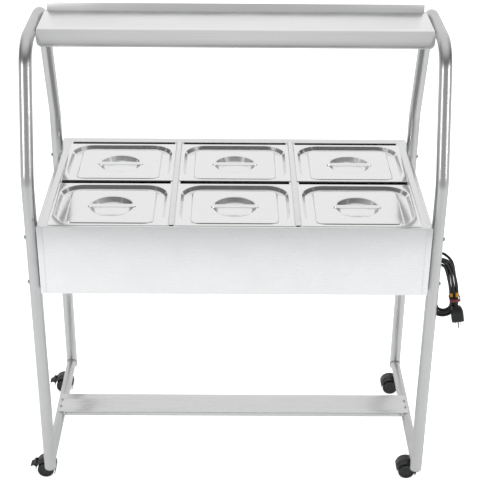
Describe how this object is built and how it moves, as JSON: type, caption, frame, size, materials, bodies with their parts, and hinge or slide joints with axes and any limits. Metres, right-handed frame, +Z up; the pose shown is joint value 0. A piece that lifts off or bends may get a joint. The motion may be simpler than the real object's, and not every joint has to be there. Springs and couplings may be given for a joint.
{
  "type": "heated buffet counter",
  "caption": "Mobile heated buffet counter with lidded pans in a water well, tube side frames, top shelf, stretcher and casters.",
  "frame": {"origin": "on the floor, under the middle of the counter's extents without the cord", "axes": "+Z up, +X to the right as seen from the front, +Y to the back, towards the operator's side"},
  "size_m": [1.2851, 0.627, 1.393],
  "materials": {
    "stainless_tube": "satin stainless tube",
    "stainless_sheet": "brushed stainless sheet",
    "polished_steel": "pressed bright stainless",
    "zinc_steel": "zinc-plated steel",
    "light_plastic": "light grey moulded plastic",
    "black_plastic": "black moulded plastic",
    "black_rubber": "black rubber",
    "red_plastic": "dark red tie",
    "brass": "nickelled brass",
    "element_metal": "heat-darkened tube"
  },
  "bodies": {
    "counter": {"left_frame_tube": "stainless_tube", "right_frame_tube": "stainless_tube", "left_lower_rail": "stainless_tube", "right_lower_rail": "stainless_tube", "leg_end_plugs": "light_plastic", "frame_bolts": "zinc_steel", "bottom_stretcher": "stainless_sheet", "top_shelf": "stainless_sheet", "frame_screws": "zinc_steel", "well_rim": "stainless_sheet", "front_panel": "stainless_sheet", "left_side_panel": "stainless_sheet", "right_side_panel": "stainless_sheet", "rear_panel": "stainless_sheet", "bottom_panel": "stainless_sheet", "left_divider_bar": "stainless_sheet", "right_divider_bar": "stainless_sheet", "cross_bars": "stainless_sheet", "water_tank": "stainless_sheet", "heating_element": "element_metal", "thermostat_body": "black_plastic", "switch_housing": "black_plastic", "drain_valve_body": "brass", "caster_stems": "zinc_steel", "cord_gland": "black_plastic", "power_cord_lead": "black_rubber", "power_cord_hank": "black_rubber", "cord_tie": "red_plastic", "power_plug": "black_plastic"},
    "pan_front_left": {"pan_front_left": "polished_steel"},
    "lid_front_left": {"lid_front_left": "polished_steel", "lid_handle_front_left": "polished_steel"},
    "pan_front_middle": {"pan_front_middle": "polished_steel"},
    "lid_front_middle": {"lid_front_middle": "polished_steel", "lid_handle_front_middle": "polished_steel"},
    "pan_front_right": {"pan_front_right": "polished_steel"},
    "lid_front_right": {"lid_front_right": "polished_steel", "lid_handle_front_right": "polished_steel"},
    "pan_rear_left": {"pan_rear_left": "polished_steel"},
    "lid_rear_left": {"lid_rear_left": "polished_steel", "lid_handle_rear_left": "polished_steel"},
    "pan_rear_middle": {"pan_rear_middle": "polished_steel"},
    "lid_rear_middle": {"lid_rear_middle": "polished_steel", "lid_handle_rear_middle": "polished_steel"},
    "pan_rear_right": {"pan_rear_right": "polished_steel"},
    "lid_rear_right": {"lid_rear_right": "polished_steel", "lid_handle_rear_right": "polished_steel"},
    "thermostat_knob": {"thermostat_knob": "black_plastic"},
    "switch_rocker": {"switch_rocker": "black_plastic"},
    "drain_valve_lever": {"drain_valve_lever": "zinc_steel"},
    "caster_hood_front_left": {"caster_hood_front_left": "black_plastic"},
    "caster_wheels_front_left": {"caster_wheels_front_left": "black_plastic"},
    "brake_lever_front_left": {"brake_lever_front_left": "black_plastic"},
    "caster_hood_front_right": {"caster_hood_front_right": "black_plastic"},
    "caster_wheels_front_right": {"caster_wheels_front_right": "black_plastic"},
    "caster_hood_rear_left": {"caster_hood_rear_left": "black_plastic"},
    "caster_wheels_rear_left": {"caster_wheels_rear_left": "black_plastic"},
    "brake_lever_rear_left": {"brake_lever_rear_left": "black_plastic"},
    "caster_hood_rear_right": {"caster_hood_rear_right": "black_plastic"},
    "caster_wheels_rear_right": {"caster_wheels_rear_right": "black_plastic"}
  },
  "joints": [
    {"name": "pan_lift_front_left", "type": "slide", "parent": "counter", "child": "pan_front_left", "axis": [0, 0, 1], "range_m": [0, 0.17]},
    {"name": "lid_lift_front_left", "type": "slide", "parent": "pan_front_left", "child": "lid_front_left", "axis": [0, 0, 1], "range_m": [0, 0.12]},
    {"name": "pan_lift_front_middle", "type": "slide", "parent": "counter", "child": "pan_front_middle", "axis": [0, 0, 1], "range_m": [0, 0.17]},
    {"name": "lid_lift_front_middle", "type": "slide", "parent": "pan_front_middle", "child": "lid_front_middle", "axis": [0, 0, 1], "range_m": [0, 0.12]},
    {"name": "pan_lift_front_right", "type": "slide", "parent": "counter", "child": "pan_front_right", "axis": [0, 0, 1], "range_m": [0, 0.17]},
    {"name": "lid_lift_front_right", "type": "slide", "parent": "pan_front_right", "child": "lid_front_right", "axis": [0, 0, 1], "range_m": [0, 0.12]},
    {"name": "pan_lift_rear_left", "type": "slide", "parent": "counter", "child": "pan_rear_left", "axis": [0, 0, 1], "range_m": [0, 0.17]},
    {"name": "lid_lift_rear_left", "type": "slide", "parent": "pan_rear_left", "child": "lid_rear_left", "axis": [0, 0, 1], "range_m": [0, 0.12]},
    {"name": "pan_lift_rear_middle", "type": "slide", "parent": "counter", "child": "pan_rear_middle", "axis": [0, 0, 1], "range_m": [0, 0.17]},
    {"name": "lid_lift_rear_middle", "type": "slide", "parent": "pan_rear_middle", "child": "lid_rear_middle", "axis": [0, 0, 1], "range_m": [0, 0.12]},
    {"name": "pan_lift_rear_right", "type": "slide", "parent": "counter", "child": "pan_rear_right", "axis": [0, 0, 1], "range_m": [0, 0.17]},
    {"name": "lid_lift_rear_right", "type": "slide", "parent": "pan_rear_right", "child": "lid_rear_right", "axis": [0, 0, 1], "range_m": [0, 0.12]},
    {"name": "thermostat_turn", "type": "hinge", "parent": "counter", "child": "thermostat_knob", "pos_m": [0.42325, 0.2955, 0.731], "axis": [0, -1, 0], "range_deg": [0, 270]},
    {"name": "switch_rock", "type": "hinge", "parent": "counter", "child": "switch_rocker", "pos_m": [0.35325, 0.2905, 0.731], "axis": [1, 0, 0], "range_deg": [-18, 0]},
    {"name": "drain_valve_turn", "type": "hinge", "parent": "counter", "child": "drain_valve_lever", "pos_m": [-0.27675, 0.2375, 0.658], "axis": [0, 1, 0], "range_deg": [0, 90]},
    {"name": "caster_swivel_front_left", "type": "hinge", "parent": "counter", "child": "caster_hood_front_left", "pos_m": [-0.53025, -0.2255, 0.055], "axis": [0, 0, 1], "continuous": true},
    {"name": "wheel_spin_front_left", "type": "hinge", "parent": "caster_hood_front_left", "child": "caster_wheels_front_left", "pos_m": [-0.55175, -0.2255, 0.025], "axis": [0, 1, 0], "continuous": true},
    {"name": "brake_press_front_left", "type": "hinge", "parent": "caster_hood_front_left", "child": "brake_lever_front_left", "pos_m": [-0.58375, -0.2255, 0.042], "axis": [0, 1, 0], "range_deg": [-20, 0]},
    {"name": "caster_swivel_front_right", "type": "hinge", "parent": "counter", "child": "caster_hood_front_right", "pos_m": [0.57675, -0.2255, 0.055], "axis": [0, 0, 1], "continuous": true},
    {"name": "wheel_spin_front_right", "type": "hinge", "parent": "caster_hood_front_right", "child": "caster_wheels_front_right", "pos_m": [0.55525, -0.2255, 0.025], "axis": [0, 1, 0], "continuous": true},
    {"name": "caster_swivel_rear_left", "type": "hinge", "parent": "counter", "child": "caster_hood_rear_left", "pos_m": [-0.53025, 0.2235, 0.055], "axis": [0, 0, 1], "continuous": true},
    {"name": "wheel_spin_rear_left", "type": "hinge", "parent": "caster_hood_rear_left", "child": "caster_wheels_rear_left", "pos_m": [-0.55175, 0.2235, 0.025], "axis": [0, 1, 0], "continuous": true},
    {"name": "brake_press_rear_left", "type": "hinge", "parent": "caster_hood_rear_left", "child": "brake_lever_rear_left", "pos_m": [-0.58375, 0.2235, 0.042], "axis": [0, 1, 0], "range_deg": [-20, 0]},
    {"name": "caster_swivel_rear_right", "type": "hinge", "parent": "counter", "child": "caster_hood_rear_right", "pos_m": [0.57675, 0.2235, 0.055], "axis": [0, 0, 1], "continuous": true},
    {"name": "wheel_spin_rear_right", "type": "hinge", "parent": "caster_hood_rear_right", "child": "caster_wheels_rear_right", "pos_m": [0.55525, 0.2235, 0.025], "axis": [0, 1, 0], "continuous": true}
  ]
}
